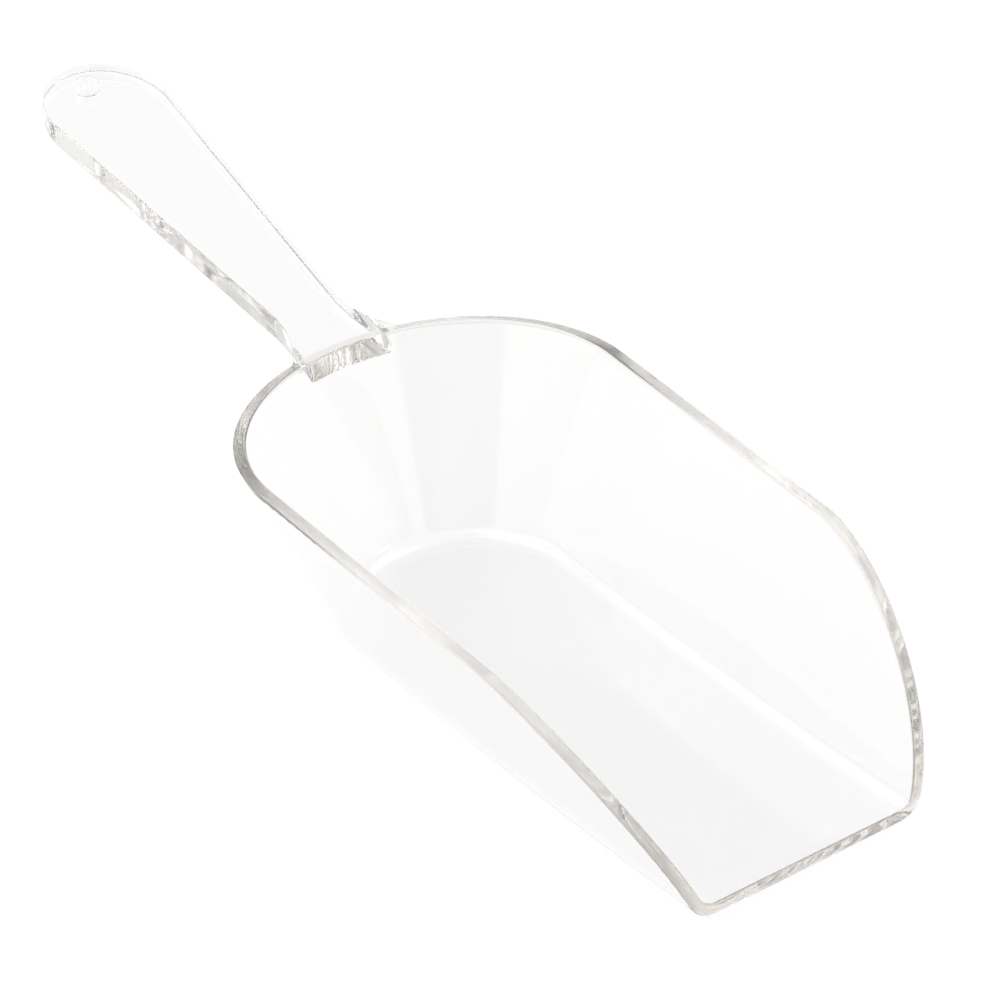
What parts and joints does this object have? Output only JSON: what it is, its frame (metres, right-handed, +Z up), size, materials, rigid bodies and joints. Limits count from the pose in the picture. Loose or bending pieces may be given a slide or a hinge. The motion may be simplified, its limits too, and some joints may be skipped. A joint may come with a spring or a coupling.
{
  "type": "ice scoop",
  "caption": "Clear moulded ice scoop with a flat-bottomed flared bowl, a raised straight lip and a solid flat tapered handle with a hanging hole.",
  "frame": {"origin": "middle of the bounding box's base, on the surface that the scoop stands on", "axes": "+Y runs from the lip to the handle's end, +Z is up out of the bowl, and X runs across the scoop, which is mirrored about X = 0"},
  "size_m": [0.1062, 0.3416, 0.0875],
  "materials": {
    "clear_plastic": "clear, glossy, colourless injection-moulded plastic with darker cut edges"
  },
  "bodies": {
    "root": {"bowl_floor": "clear_plastic", "front_lip": "clear_plastic", "right_side_wall": "clear_plastic", "left_side_wall": "clear_plastic", "back_wall": "clear_plastic", "handle_neck": "clear_plastic", "handle_grip": "clear_plastic", "handle_end": "clear_plastic"}
  },
  "joints": []
}
